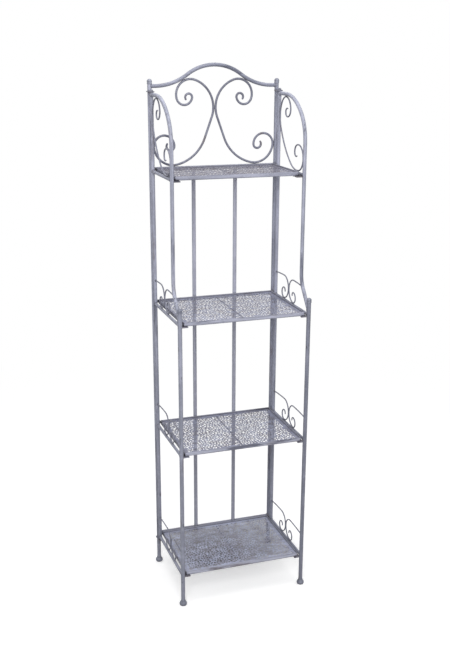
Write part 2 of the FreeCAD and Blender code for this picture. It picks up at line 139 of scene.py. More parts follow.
def add_node(tree, kind, inputs=None, **settings):
    """Adds a shader node of this kind. Inputs that are sockets are linked, and others are set."""
    made = tree.nodes.new("ShaderNode" + kind)
    for key, value in settings.items():
        setattr(made, key, value)
    for key, value in (inputs or {}).items():
        if isinstance(value, bpy.types.NodeSocket):
            tree.links.new(value, made.inputs[key])
        else:
            made.inputs[key].default_value = value
    return made


def combined(tree, operation, first, second):
    return add_node(tree, "Math", {0: first, 1: second}, operation=operation).outputs[0]


def ranged(tree, value, start, end, to_start=0.0, to_end=1.0, curve="LINEAR"):
    """Carries a value from the range start to end over to the range to_start to to_end."""
    inputs = {"Value": value, "From Min": start, "From Max": end, "To Min": to_start, "To Max": to_end}
    return add_node(tree, "MapRange", inputs, interpolation_type=curve).outputs[0]


def laid_over(tree, amount, under, over):
    return add_node(tree, "Mix", {0: amount, 6: under, 7: over}, data_type="RGBA").outputs[2]


def seen_rays(tree):
    """1 for what the camera sees, also in a mirror or through glass, and 0 for all other light."""
    rays = add_node(tree, "LightPath").outputs
    seen = combined(tree, "MAXIMUM", rays["Is Camera Ray"], rays["Is Glossy Ray"])
    return combined(tree, "MAXIMUM", seen, rays["Is Transmission Ray"])


def colour(red, green, blue):
    """A screen colour, 0 to 255, as the linear colour that a shader wants."""
    def linear(part):
        part = part / 255.0
        return part / 12.92 if part < 0.04045 else ((part + 0.055) / 1.055) ** 2.4
    return (linear(red), linear(green), linear(blue), 1.0)


def scaled_colour(tone, factor):
    return tuple(min(1.0, part * factor) for part in tone[:3]) + (1.0,)


# %% [markdown]
# ## Studio: floor, backdrop and lamps
# The stand is shown in a white room. The floor is a pale matt plane that takes the soft shadow
# and fades into white further out. Under and behind the lowest shelf the floor carries a painted
# shadow, a soft patch that is darkest at its heart. What the camera sees
# behind the stand is plain white, and mirrors and clear things see that white too, by the Light
# Path node. The light comes from a large lamp overhead, a smaller one at the front left, weak
# ones behind and at the right, and a little from the room.

# %% Floor
floor_mesh = bpy.data.meshes.new("studio_floor")
reach = 14.0
floor_mesh.from_pydata([(-reach, -reach, 0), (reach, -reach, 0), (reach, reach, 0), (-reach, reach, 0)],
                       [], [(0, 1, 2, 3)])
floor = add_object("studio_floor", floor_mesh)
print("floor", 2.0 * reach, "m wide")

# %% Floor paper
floor_paper = bpy.data.materials.new("floor_paper")
floor_paper.use_nodes = True
tree = floor_paper.node_tree
tree.nodes.clear()
seen = seen_rays(tree)
spot = add_node(tree, "TexCoord").outputs["Object"]
away = add_node(tree, "VectorMath", {0: spot}, operation="LENGTH").outputs["Value"]
fade_start, fade_end = 0.6, 2.4
fade = ranged(tree, away, fade_start, fade_end, curve="SMOOTHSTEP")

# A painted shadow on the floor: a soft patch under and behind the lowest shelf, darkest at its heart.
shade_middle, shade_reach = (0.066, 0.186, 0.0), (0.198, 0.150)
soft_inside, soft_outside = 0.030, 0.028
offset = add_node(tree, "VectorMath", {0: spot, 1: shade_middle}, operation="SUBTRACT").outputs[0]
offset = add_node(tree, "VectorMath", {0: offset}, operation="ABSOLUTE").outputs[0]
offset = add_node(tree, "SeparateXYZ", {0: offset}).outputs
across, deep = [ranged(tree, offset[axis], half - soft_inside, half + soft_outside, 1.0, 0.0, "SMOOTHSTEP")
                for axis, half in zip("XY", shade_reach)]
shade = combined(tree, "MULTIPLY", across, deep)
heart, heart_start, heart_end = (-0.02, 0.09, 0.0), 0.05, 0.32
kept_at_heart, kept_at_edge = 0.10, 0.42
from_heart = add_node(tree, "VectorMath", {0: spot, 1: heart}, operation="DISTANCE").outputs["Value"]
deepest = ranged(tree, from_heart, heart_start, heart_end, kept_at_heart, kept_at_edge)
kept_light = ranged(tree, shade, 0.0, 1.0, 1.0, deepest)

paper_tone, bounce_tone, near_glow = 0.80, 0.3, 0.40
seen_tone = combined(tree, "MULTIPLY", ranged(tree, fade, 0.0, 1.0, paper_tone, 0.0), kept_light)
paper = ranged(tree, seen, 0.0, 1.0, bounce_tone, seen_tone)
glow = combined(tree, "MULTIPLY", seen, ranged(tree, fade, 0.0, 1.0, near_glow, 1.0))
glow = combined(tree, "MULTIPLY", glow, kept_light)
matt = add_node(tree, "BsdfDiffuse", {"Color": paper})
lift = add_node(tree, "Emission", {"Strength": glow})
both = add_node(tree, "AddShader", {0: matt.outputs[0], 1: lift.outputs[0]})
add_node(tree, "OutputMaterial", {"Surface": both.outputs[0]})
floor_mesh.materials.append(floor_paper)
print("shade", [2.0 * half for half in shade_reach], "m wide and deep")

# %% Room and lamps
room = bpy.data.worlds.new("white_room")
bpy.context.scene.world = room
room.use_nodes = True
tree = room.node_tree
tree.nodes.clear()
room_light = 0.48
level = ranged(tree, seen_rays(tree), 0.0, 1.0, room_light, 1.0)
back = add_node(tree, "Background", {"Color": (1.0, 1.0, 1.0, 1.0), "Strength": level})
add_node(tree, "OutputWorld", {"Surface": back.outputs[0]})


def soft_lamp(name, place, aim, size, watts):
    """Square area lamp that looks at a point."""
    data = bpy.data.lights.new(name, "AREA")
    data.size = size
    data.energy = watts
    lamp = add_object(name, data)
    lamp.location = place
    lamp.rotation_euler = (Vector(aim) - Vector(place)).to_track_quat("-Z", "Y").to_euler()
    print(name, "at", place, watts, "W")


soft_lamp("lamp_overhead", (-0.1, -0.3, 3.5), (0.0, 0.0, 0.7), 2.0, 32.0)
soft_lamp("lamp_front", (-0.9, -2.3, 2.05), (0.0, 0.0, 1.2), 1.2, 44.0)
soft_lamp("lamp_back", (0.7, 2.6, 2.6), (0.0, 0.0, 0.9), 1.8, 9.0)
soft_lamp("lamp_right", (2.6, -1.4, 2.4), (0.0, 0.0, 1.0), 1.8, 8.0)

# %% [markdown]
# ## The aged paint
# The steel is sprayed a cool grey with a hint of lavender, and then rubbed by hand so that it
# looks old: broad soft clouds in the tone, fine speckle from the spray, fine dark lines drawn
# along the tube, long brown streaks and grey smears where a cloth took the paint off, small dark
# chips, worn edges, and dark wax by the welds together with painted shade in the corners. The
# tone also shifts with height, as painted shading: most pieces darker towards the floor, the rims
# and forks lighter. Each of these is a layer with its own size, laid over the one before. They
# read the piece's own coordinates in metres, so that the paint keeps its scale and moves with the
# piece. A piece may also say where dark wax and painted shade lie on it, by a value at each of
# its points.

# %% Paint recipe
rub_brown, smear_grey, bare_steel = colour(112, 104, 108), colour(84, 86, 102), colour(58, 56, 66)
drawn_stretch, rub_stretch = 0.03, 0.16


def aged_paint(name, tone, shade, wear, roughness, along="Z", height_shading=0.35, low_tone=None,
               low_range=(1.25, 0.35), corner_reach=7.0 * mm):
    """Painted steel. wear holds how much it is rubbed, chipped, darkened in its corners by dark wax and
    painted shade, and worn at its edges.
    """
    material = bpy.data.materials.new(name)
    material.use_nodes = True
    tree = material.node_tree
    tree.nodes.clear()
    place = add_node(tree, "TexCoord").outputs["Object"]
    tone, shade = colour(*tone), colour(*shade)
    low_tone = colour(*low_tone) if low_tone else scaled_colour(shade, 0.68)
    rubbed, chipped, corner_wax_and_shade, edge_worn = wear

    def clouds(scale, detail, start, full, stretch=1.0):
        """Noise with this many features per metre, from 0 at start to 1 at full."""
        lengthwise = tuple(stretch if axis == along else 1.0 for axis in "XYZ")
        drawn = add_node(tree, "Mapping", {"Vector": place, "Scale": lengthwise}).outputs[0]
        inputs = {"Vector": drawn, "Scale": scale, "Detail": detail, "Roughness": 0.6}
        return ranged(tree, add_node(tree, "TexNoise", inputs).outputs["Fac"], start, full)

    height = add_node(tree, "SeparateXYZ", {0: place}).outputs["Z"]
    chip = clouds(120.0, 4.0, 0.655, 0.70, rub_stretch)
    edge = ranged(tree, add_node(tree, "NewGeometry").outputs["Pointiness"], 0.53, 0.60)
    worn = combined(tree, "MULTIPLY", edge, clouds(60.0, 4.0, 0.42, 0.6))
    # Dark wax and painted shade in corners: darker where ambient occlusion finds other surfaces close by.
    nearby = add_node(tree, "AmbientOcclusion", {"Distance": corner_reach}, samples=8)
    corner = ranged(tree, nearby.outputs["AO"], 0.9, 0.35)
    # Dark wax and painted shade that a piece marks at each of its points; the rims do this.
    marked_wax_and_shade = add_node(tree, "Attribute", attribute_name="rim_wax_and_shade").outputs["Fac"]
    paint = laid_over(tree, clouds(11.0, 3.0, 0.34, 0.66), shade, tone)
    # Each layer says where it lies, how much of it there is, and its colour.
    # The first layer is painted shading by height: nearer the floor the tone shifts to low_tone, darker on
    # most pieces, lighter on the rims and forks.
    layers = [(ranged(tree, height, *low_range), height_shading, low_tone),
              (clouds(70.0, 3.0, 0.5, 0.74), 0.4, scaled_colour(tone, 1.22)),
              (clouds(420.0, 2.0, 0.5, 0.75), 0.3, shade),
              (clouds(240.0, 2.0, 0.46, 0.62, drawn_stretch), 0.5, scaled_colour(shade, 0.62)),
              (clouds(46.0, 5.0, 0.585, 0.70, rub_stretch), rubbed, rub_brown),
              (clouds(26.0, 4.0, 0.60, 0.68, rub_stretch), rubbed, smear_grey),
              (chip, chipped, bare_steel), (worn, edge_worn, rub_brown),
              (corner, corner_wax_and_shade, bare_steel), (marked_wax_and_shade, 1.0, bare_steel)]
    for where, amount, over in layers:
        paint = laid_over(tree, combined(tree, "MULTIPLY", where, amount), paint, over)

    rough = ranged(tree, clouds(90.0, 3.0, 0.3, 0.7), 0.0, 1.0, roughness - 0.08, roughness + 0.12)
    rough = combined(tree, "ADD", rough, combined(tree, "MULTIPLY", chip, -0.12))
    pitted = combined(tree, "ADD", clouds(260.0, 3.0, 0.2, 0.8), combined(tree, "MULTIPLY", chip, -0.8))
    grain = add_node(tree, "Bump", {"Height": pitted, "Strength": 0.22, "Distance": 0.3 * mm})
    sway = add_node(tree, "Bump", {"Height": clouds(28.0, 2.0, 0.2, 0.8), "Strength": 0.3,
                                   "Distance": 1.0 * mm, "Normal": grain.outputs[0]})
    shader = add_node(tree, "BsdfPrincipled", {"Base Color": paint, "Roughness": rough, "Metallic": 0.0,
                                               "Normal": sway.outputs[0], "Specular IOR Level": 0.42})
    add_node(tree, "OutputMaterial", {"Surface": shader.outputs[0]})
    print("finish", name)
    return material


# %% The finishes of the tubes
light_grey, lavender_grey, deep_grey = (176, 178, 196), (160, 162, 179), (141, 144, 160)
rail_wear, dark_tube_wear = (0.7, 0.75, 0.8, 0.0), (0.6, 0.8, 0.75, 0.0)
tube_paint = aged_paint("tube_paint", light_grey, (150, 153, 169), (0.75, 1.0, 0.75, 0.0), 0.5,
                        height_shading=0.6, low_range=(1.0, 0.35))
# Painted light: the inner bars get a lighter copy of the tube paint, where the shelves above shade them.
lit_bar_paint = aged_paint("lit_bar_paint", (188, 190, 206), (176, 178, 194), (0.15, 0.5, 0.75, 0.0), 0.5,
                       height_shading=0.75)
rail_paint = aged_paint("rail_paint", lavender_grey, deep_grey, rail_wear, 0.5, "X")
side_rail_paint = aged_paint("side_rail_paint", lavender_grey, deep_grey, rail_wear, 0.5, "Y")
arch_paint = aged_paint("arch_paint", (150, 152, 169), (129, 132, 148), rail_wear, 0.5, "X")
# The right-hand back post and lower leg are painted darker than the other tubes.
dark_post_paint = aged_paint("dark_post_paint", (158, 161, 178), (132, 135, 151), dark_tube_wear, 0.5)
dark_leg_paint = aged_paint("dark_leg_paint", (148, 150, 166), (122, 125, 140), dark_tube_wear, 0.5)

# %% The finishes of the smaller pieces
scroll_paint = aged_paint("scroll_paint", (138, 140, 156), (114, 116, 132), (0.8, 0.8, 0.8, 0.5), 0.46,
                          height_shading=0.0)
# The rims get painted light towards the floor, so the rims of the lower shelves are lighter.
rim_paint = aged_paint("rim_paint", light_grey, (152, 154, 170), (0.85, 0.8, 1.0, 0.9), 0.5, "X",
                       height_shading=0.6, low_tone=(198, 200, 218), corner_reach=13.0 * mm)
lace_paint = aged_paint("lace_paint", (151, 155, 179), (123, 127, 150), (0.8, 0.85, 0.6, 0.6), 0.52, "X",
                        height_shading=0.0)
# Painted light and shade by shelf: the lowest lace is a lighter copy, and the top one a darker copy with more
# brown rubbing.
lit_low_lace_paint = aged_paint("lit_low_lace_paint", (181, 186, 210), (155, 160, 183), (0.6, 0.8, 0.6, 0.6), 0.52,
                            "X", height_shading=0.0)
shaded_rubbed_high_lace_paint = aged_paint("shaded_rubbed_high_lace_paint", (132, 133, 152), (106, 106, 122), (1.0, 0.85, 0.6, 0.6), 0.56,
                             "X", height_shading=0.0)
cap_paint = aged_paint("cap_paint", (154, 157, 172), (112, 115, 130), (0.7, 0.7, 0.8, 0.5), 0.42)
# The forks are dark metal with painted shade, and get painted light towards the floor so the lower ones are
# lighter.
fork_paint_with_shading = aged_paint("fork_paint_with_shading", (96, 96, 108), (62, 62, 72), (0.8, 0.8, 0.9, 0.6), 0.45,
                        height_shading=0.9, low_tone=(146, 148, 164), low_range=(1.25, 1.0))
# Dark steel together with painted shade: the pegs are darkened where they sit in shade under the rims.
dark_peg_steel_and_shade = aged_paint("dark_peg_steel_and_shade", (74, 74, 84), (44, 44, 52), (0.6, 0.8, 0.9, 0.6), 0.4)
weld_paint = aged_paint("weld_paint", (146, 148, 164), (112, 114, 128), (0.8, 0.9, 0.9, 0.7), 0.5)

# %% Paint the solids that stay
finishes = {"top_rail": rail_paint, "bottom_rail": rail_paint, "side_rail_": side_rail_paint,
            "top_arch": arch_paint, "shelf_lugs": scroll_paint, "hinge_tabs": scroll_paint,
            "inner_bar_": lit_bar_paint, "shelf_forks_": fork_paint_with_shading, "back_post_right": dark_post_paint,
            "lower_leg_right": dark_leg_paint}
for name in nodes:
    fitting = [paint for start, paint in finishes.items() if name.startswith(start)]
    mesh = nodes[name].data
    mesh.materials.clear()
    mesh.materials.append(fitting[0] if fitting else tube_paint)
print("painted", len(nodes), "solids")

# %% [markdown]
# ## Making meshes
# Three kinds of work make nearly every new piece: lists of points and faces become one object
# that rides on its body and shades smoothly except at real edges; a half outline is turned
# about an axis, as on a lathe; and a round bar follows a line of straights and tangent arcs, as
# it does when it is bent round pins on a bench. Bars are rebuilt, not kept, because a real one
# is drawn thinner towards its end, has a rounded tip, and shows the hammer a little.

# %% Objects and turned work


def joined(parts):
    """One list of points and faces out of several."""
    points, faces = [], []
    for more_points, more_faces in parts:
        start = len(points)
        points.extend(more_points)
        faces.extend(tuple(start + k for k in face) for face in more_faces)
    return points, faces


def make_piece(name, parts, material, body, sharp=40.0):
    """A mesh object in the row frame that rides on a body."""
    points, faces = joined(parts)
    mesh = bpy.data.meshes.new(name)
    mesh.from_pydata([tuple(point) for point in points], [], faces)
    clean = bmesh.new()
    clean.from_mesh(mesh)
    bmesh.ops.remove_doubles(clean, verts=clean.verts, dist=0.001 * mm)
    bmesh.ops.recalc_face_normals(clean, faces=clean.faces)
    clean.to_mesh(mesh)
    clean.free()
    mesh.shade_smooth()
    mesh.set_sharp_from_angle(angle=math.radians(sharp))
    mesh.materials.append(material)
    made = add_object(name, mesh)
    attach(made, body)
    return made


def ring_faces(count, first, second):
    """The faces between two rings of this many points, given where each ring starts."""
    return [(first + j, first + (j + 1) % count, second + (j + 1) % count, second + j) for j in range(count)]


def closed_rings(rings):
    """Points and faces of rings that follow each other round and close up."""
    count = len(rings[0])
    faces = []
    for k in range(len(rings)):
        faces += ring_faces(count, k * count, (k + 1) % len(rings) * count)
    return [point for ring in rings for point in ring], faces


def capped_rings(rings):
    """Points and faces of rings that follow each other along a bar, with a face on each end."""
    count = len(rings[0])
    last = (len(rings) - 1) * count
    faces = []
    for start in range(0, last, count):
        faces += ring_faces(count, start, start + count)
    faces += [tuple(range(count - 1, -1, -1)), tuple(range(last, last + count))]
    return [point for ring in rings for point in ring], faces


def turn_round(steps):
    """The angles of a full turn in equal steps."""
    return [2.0 * math.pi * k / steps for k in range(steps)]


def turned(outline, place, axis, ring=36):
    """A closed outline of (radius, height) in millimetres, turned about an axis."""
    across = axis.orthogonal().normalized()
    beside = axis.cross(across)
    rings = []
    for turn in turn_round(ring):
        out = across * math.cos(turn) + beside * math.sin(turn)
        rings.append([place + out * (radius * mm) + axis * (height * mm) for radius, height in outline])
    return closed_rings(rings)


# %% Bars


def bend_end(start, heading, size, turn):
    """Where a straight run (turn 0) or a tangent arc of this radius ends, and the new heading."""
    first = math.radians(heading)
    if turn == 0:
        return (start[0] + size * math.cos(first), start[1] + size * math.sin(first)), heading
    side = math.copysign(1.0, turn)
    last = math.radians(heading + turn)
    place = (start[0] + side * size * (math.sin(last) - math.sin(first)),
             start[1] - side * size * (math.cos(last) - math.cos(first)))
    return place, heading + turn


def bar_length(bends):
    return sum(size * abs(math.radians(turn)) if turn else size for size, turn in bends)


def along_bends(start, heading, bends, distance):
    """The point (u, v) at a distance along a bar."""
    for size, turn in bends:
        length = bar_length([(size, turn)])
        if distance < length:
            share = distance / length
            return bend_end(start, heading, size if turn else size * share, turn * share)[0]
        start, heading = bend_end(start, heading, size, turn)
        distance -= length
    return start


def forged_bar(start, heading, bends, radius, place, side, step=3.0 * mm, ring=12):
    """Points and faces of a round bar, and its centre line. place turns (u, v) into a point."""
    length = bar_length(bends)
    tip = [radius * share for share in (0.03, 0.15, 0.4, 0.7, 1.0)]
    count = round((length - 2.0 * radius) / step)
    stations = tip + [radius + (length - 2.0 * radius) * k / count for k in range(1, count)]
    stations += [length - distance for distance in reversed(tip)]
    line = [place(*along_bends(start, heading, bends, distance)) for distance in stations]
    draw_down, end_share = 14.0 * mm, 0.84
    hammer_depth, hammer_marks = 0.05, 60.0
    rings = []
    for k, centre in enumerate(line):
        end = min(stations[k], length - stations[k])
        rounded = math.sqrt(max(0.0, 1.0 - (1.0 - min(end / radius, 1.0)) ** 2))
        drawn = end_share + (1.0 - end_share) * min(end / draw_down, 1.0)
        hammered = 1.0 - hammer_depth * abs(noise.noise(centre * hammer_marks))
        thick = radius * rounded * drawn * hammered
        ahead = line[min(k + 1, len(line) - 1)] - line[max(k - 1, 0)]
        across = ahead.normalized().cross(side)
        rings.append([centre + across * (thick * math.cos(turn)) + side * (thick * math.sin(turn))
                      for turn in turn_round(ring)])
    return capped_rings(rings), line


def set_in_room(heading, bends, left, right, bottom):
    """The bends at the size that fills a room from left to right, and where they start."""
    length, steps = bar_length(bends), 400
    looks = [along_bends((0.0, 0.0), heading, bends, length * k / steps) for k in range(steps + 1)]
    scale = (right - left) / (max(u for u, v in looks) - min(u for u, v in looks))
    start = (left - min(u for u, v in looks) * scale, bottom - min(v for u, v in looks) * scale)
    return start, [(size * scale, turn) for size, turn in bends]


# %% [markdown]
# ## The rolled rims
# A shelf's rim is a strip of sheet that is rolled over at its top and turned in at its foot, so
# its face is slightly round and catches a line of light. The strip's outline is carried round
# the shelf; a corner is rounded on the outside and mitred on the inside, which comes from
# insetting a rectangle and shrinking its corner radius by the same amount. Dark wax lies along
# the rolled edges, painted shade darkens the inner corner and the inside of the turned-in foot,
# and hardly any of either is on the face. So each point of the outline also says how dark it is
# made there, and the paint reads that.

# %% The rim's outline
# Each point is its inset and its height in millimetres from the rim's top outer edge, and how dark it is made
# by dark wax and painted shade.
rim_outline = [
    (0.9, 0.0, 0.4), (0.35, -0.4, 0.3), (0.12, -1.2, 0.1), (0.0, -2.8, 0.0), (0.0, -5.6, 0.0),
    (0.0, -8.4, 0.0), (0.15, -10.2, 0.1), (0.5, -11.4, 0.3), (1.1, -12.0, 0.5), (1.7, -11.8, 0.6),
    (2.0, -11.2, 0.6), (2.0, -9.0, 0.6), (2.1, -6.9, 0.6), (2.6, -6.5, 0.5), (12.8, -6.5, 0.3),
    (13.0, -6.3, 0.5), (13.0, -5.2, 0.4), (12.8, -5.0, 0.15), (5.5, -5.0, 0.0), (2.5, -5.0, 0.75),
    (2.1, -4.6, 0.7), (2.0, -1.2, 0.15), (1.75, -0.4, 0.2), (1.35, -0.05, 0.4)]
rim_corner = 4.0


def inset_ring(corners, inset, steps=5):
    """Rectangle with round corners, moved inwards. Every ring has the same number of points."""
    x0, y0, x1, y1 = corners
    radius = max(rim_corner * mm - inset, 0.0)
    ring = []
    for cx, cy, first in ((x1, y0, -90.0), (x1, y1, 0.0), (x0, y1, 90.0), (x0, y0, 180.0)):
        px = cx - math.copysign(inset + radius, cx - (x0 + x1) / 2.0)
        py = cy - math.copysign(inset + radius, cy - (y0 + y1) / 2.0)
        for k in range(steps + 1):
            turn = math.radians(first + 90.0 * k / steps)
            ring.append((px + radius * math.cos(turn), py + radius * math.sin(turn)))
    return ring


def lay_wax_and_shade(rim, corners, top):
    """Marks how dark each point is made by dark wax and painted shade: that of the nearest point of the
    outline.
    """
    x0, y0, x1, y1 = corners
    marks = rim.data.attributes.new("rim_wax_and_shade", "FLOAT", "POINT")
    for mark, vertex in zip(marks.data, rim.data.vertices):
        x, y, z = vertex.co
        inset = min(x - x0, x1 - x, y - y0, y1 - y) / mm
        drop = (z - top) / mm
        nearest = min(rim_outline, key=lambda point: math.dist((inset, drop), point[:2]))
        mark.value = nearest[2]


# %% Rolled rims
mitre_distance = 0.01 * mm
longest_edge, cuts = 0.1, 24
for n in SHELVES:
    node = "shelf_%d_frame" % n
    box_low, box_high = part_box(node)
    corners = (box_low.x, box_low.y, box_high.x, box_high.y)
    rings = [[Vector((x, y, box_high.z + drop * mm)) for x, y in inset_ring(corners, inset * mm)]
             for inset, drop, _ in rim_outline]
    rim = make_piece("rolled_rim_%d" % n, [closed_rings(rings)], rim_paint, "shelf_%d" % n,
                     sharp=50.0)
    mesh = bmesh.new()
    mesh.from_mesh(rim.data)
    bmesh.ops.remove_doubles(mesh, verts=mesh.verts, dist=mitre_distance)
    long_edges = [edge for edge in mesh.edges if edge.calc_length() > longest_edge]
    bmesh.ops.subdivide_edges(mesh, edges=long_edges, cuts=cuts)
    mesh.to_mesh(rim.data)
    mesh.free()
    lay_wax_and_shade(rim, corners, box_high.z)
    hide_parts(node)
    print("rim", n, "points", len(rim.data.vertices))

# %% [markdown]
# ## The lace sheets
# The shelves are thin sheet steel pressed with a lace of small flowers: a round eye, a ring of
# petals, a ring of short curved slots, and small dots where the rings leave room. The flowers
# stand in staggered rows, but each is turned differently and has its own number of petals and
# slots, so that the lace looks lively and not like a grid. Every hole is a short loop of points.
# One Delaunay triangulation joins all the loops and the outline at once, and the triangles that
# lie in a hole are left out. The top and the underside are then joined by walls round each loop.
# The sheet has to be thin: seen at a low angle, a thick one would close its own holes.

# %% One flower of the lace
flower_pitch = 41.0 * mm
lattice_turn = math.radians(16.0)
golden_turn = 2.39996
eye_radius = 2.1 * mm
petal_reach, petal_half_length = 8.8 * mm, 4.9 * mm
slot_reach, slot_half_width = 17.2 * mm, 2.4 * mm
round_end = 0.85
dot_radius = 2.6 * mm
strand = 2.1 * mm
print("flowers", flower_pitch, "m apart, strands", strand, "m wide")


def petal(x, y, along, across, turn, count):
    """Loop of points of an ellipse."""
    loop = []
    for angle in turn_round(count):
        u, v = along * math.cos(angle), across * math.sin(angle)
        loop.append((x + u * math.cos(turn) - v * math.sin(turn),
                     y + u * math.sin(turn) + v * math.cos(turn)))
    return loop


def curved_slot(x, y, radius, middle_angle, half_angle, half_width):
    """Loop of points of a slot with round ends that follows a circle."""
    loop = []
    steps = 4
    for reach_out, way in ((radius + half_width, 1.0), (radius - half_width, -1.0)):
        for k in range(steps + 1):
            angle = middle_angle + way * half_angle * (2.0 * k / steps - 1.0)
            loop.append((x + reach_out * math.cos(angle), y + reach_out * math.sin(angle)))
        angle = middle_angle + way * (half_angle + round_end * half_width / radius)
        loop.append((x + radius * math.cos(angle), y + radius * math.sin(angle)))
    return loop


def flower(x, y, number):
    """All hole loops of one flower. The number sets its turn and how many petals it has."""
    turn = golden_turn * number
    loops = [petal(x, y, eye_radius, eye_radius, 0.0, 9)]
    petals = (6, 5, 7, 6)[number % 4]
    half_across = petal_reach * math.sin(math.pi / petals) - strand / 2.0
    for k in range(petals):
        angle = turn + 2.0 * math.pi * k / petals
        size = 0.86 + 0.12 * math.sin(5.1 * number + 2.3 * k)
        loops.append(petal(x + petal_reach * math.cos(angle), y + petal_reach * math.sin(angle),
                           petal_half_length * size, half_across * size, angle, 12))
    slots = (9, 8, 10, 9, 8)[number % 5]
    half_angle = math.pi / slots - (slot_half_width * round_end + strand / 2.0) / slot_reach
    for k in range(slots):
        angle = 1.3 * turn + 2.0 * math.pi * k / slots
        size = 0.85 + 0.15 * math.sin(3.7 * number + 1.9 * k)
        loops.append(curved_slot(x, y, slot_reach, angle, half_angle * size, slot_half_width * size))
    return loops


# %% All the holes of a sheet


def flower_centres(half_width, half_depth):
    """Centres of staggered rows that cover a field about the origin."""
    row_step = flower_pitch * math.sqrt(3.0) / 2.0
    reach_rows = int(math.hypot(half_width, half_depth) / row_step) + 1
    centres = []
    for row in range(-reach_rows, reach_rows + 1):
        for column in range(-reach_rows, reach_rows + 1):
            u, v = flower_pitch * (column + 0.5 * (row % 2)), row_step * row
            centres.append((u * math.cos(lattice_turn) - v * math.sin(lattice_turn),
                            u * math.sin(lattice_turn) + v * math.cos(lattice_turn)))
    return centres


def lace_holes(centres, half_width, half_depth):
    """Hole loops that lie wholly in the field. Those that would cross its edge are left out."""
    inside = []
    dot_reach = flower_pitch / math.sqrt(3.0)
    for number, (x, y) in enumerate(centres):
        loops = flower(x, y, number)
        for corner in (90.0, -90.0):
            angle = lattice_turn + math.radians(corner)
            loops.append(petal(x + dot_reach * math.cos(angle), y + dot_reach * math.sin(angle),
                               dot_radius, dot_radius * 0.8, golden_turn * number, 9))
        for loop in loops:
            if all(abs(u) < half_width and abs(v) < half_depth for u, v in loop):
                inside.append(loop)
    return inside


# %% Cut the sheets
lace_border, flat_margin = 7.5 * mm, 2.0 * mm
lace_thickness, seat_gap = 0.45 * mm, 0.2 * mm
press_height = 0.7 * mm
sag_height, sags_per_metre = 0.2 * mm, 14.0
merge_distance = 1e-7
for n in SHELVES:
    node = "shelf_%d_sheet" % n
    box_low, box_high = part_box(node)
    centre = (box_low + box_high) / 2.0
    half_x, half_y = (box_high.x - box_low.x) / 2.0, (box_high.y - box_low.y) / 2.0
    centres = flower_centres(half_x, half_y)
    holes = lace_holes(centres, half_x - lace_border, half_y - lace_border)
    outline = [(-half_x, -half_y), (half_x, -half_y), (half_x, half_y), (-half_x, half_y)]
    flat, loops = [], []
    for loop in [outline] + holes:
        loops.append(list(range(len(flat), len(flat) + len(loop))))
        flat.extend(Vector(place) for place in loop)
    made = delaunay_2d_cdt(flat, [], loops, 1, merge_distance, True)
    solid = [face for face, inside_of in zip(made[2], made[5]) if len(inside_of) == 1]
    eyes = KDTree(len(centres))
    for number, (x, y) in enumerate(centres):
        eyes.insert((x, y, 0.0), number)
    eyes.balance()

    def pressed(x, y):
        """How far the press has raised the sheet here: the middle of each flower is domed."""
        near = max(0.0, 1.0 - eyes.find((x, y, 0.0))[2] / slot_reach)
        dome = press_height * near * near * (3.0 - 2.0 * near)
        return dome + sag_height * noise.noise(Vector((x, y, 0.3 * n)) * sags_per_metre)

    rest_z = box_low.z + lace_thickness + seat_gap
    points = []
    for under in (0.0, lace_thickness):
        for x, y in made[0]:
            at_edge = min(half_x - abs(x), half_y - abs(y)) < flat_margin
            lift = 0.0 if at_edge else pressed(x, y)
            points.append(Vector((centre.x + x, centre.y + y, rest_z - under + lift)))
    count = len(made[0])
    faces = [tuple(face) for face in solid]
    faces += [(face[0] + count, face[2] + count, face[1] + count) for face in solid]
    edges = {(face[k], face[(k + 1) % 3]) for face in solid for k in range(3)}
    faces += [(b, a, a + count, b + count) for a, b in sorted(edges) if (b, a) not in edges]
    # The lowest lace gets painted light, the top lace painted shade with more rubbing.
    finish = {1: lit_low_lace_paint, 4: shaded_rubbed_high_lace_paint}.get(n, lace_paint)
    lace = make_piece("lace_sheet_%d" % n, [(points, faces)], finish, "shelf_%d" % n,
                      sharp=50.0)
    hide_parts(node)
    print("lace", n, "holes", len(holes), "faces", len(lace.data.polygons))

# %% [markdown]
# ## The braces
# Under the middle of each lace a brace runs from the back of the rim to its front: a narrow
# strip, pressed to a shallow trough so that it stays stiff, with a wider pad at each end, where
# it is welded under the flanges. Its section is carried along its length while its width
# changes, which is easiest with rings of points.

# %% Braces
pad_length, pad_half_width, strip_half_width = 14.0 * mm, 4.8 * mm, 2.4 * mm
brace_section = [(-1.0, 0.0), (-1.0, -0.9), (-0.45, -1.9), (0.45, -1.9), (1.0, -0.9), (1.0, 0.0), (0.5, -0.1),
                 (0.3, -1.0), (-0.3, -1.0), (-0.5, -0.1)]
brace_steps = 48
for n in SHELVES:
    node = "shelf_%d_brace" % n
    box_low, box_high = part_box(node)
    length = box_high.y - box_low.y
    rings = []
    for k in range(brace_steps + 1):
        along = length * k / brace_steps
        end = min(1.0, min(along, length - along) / pad_length)
        narrowing = end ** 2 * (3.0 - 2.0 * end)
        half_width = pad_half_width + (strip_half_width - pad_half_width) * narrowing
        rings.append([Vector((across * half_width, box_low.y + along, box_high.z + drop * mm))
                      for across, drop in brace_section])
    brace = make_piece("pressed_brace_%d" % n, [capped_rings(rings)], lace_paint, "shelf_%d" % n,
                       sharp=35.0)
    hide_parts(node)
print("braces", len(SHELVES))

# %% [markdown]
# ## The scrolls of the back frame
# Two C-scrolls of seven millimetre bar stand on the top rail, lean on the posts, meet in the
# middle and carry the arch on their crowns. Each is one line of arcs from the inner end of its
# upper curl to that of its lower one. The radii are the bench's own proportions; the bar is
# then sized to the room that the plain solid takes, so it stands exactly where that stands.

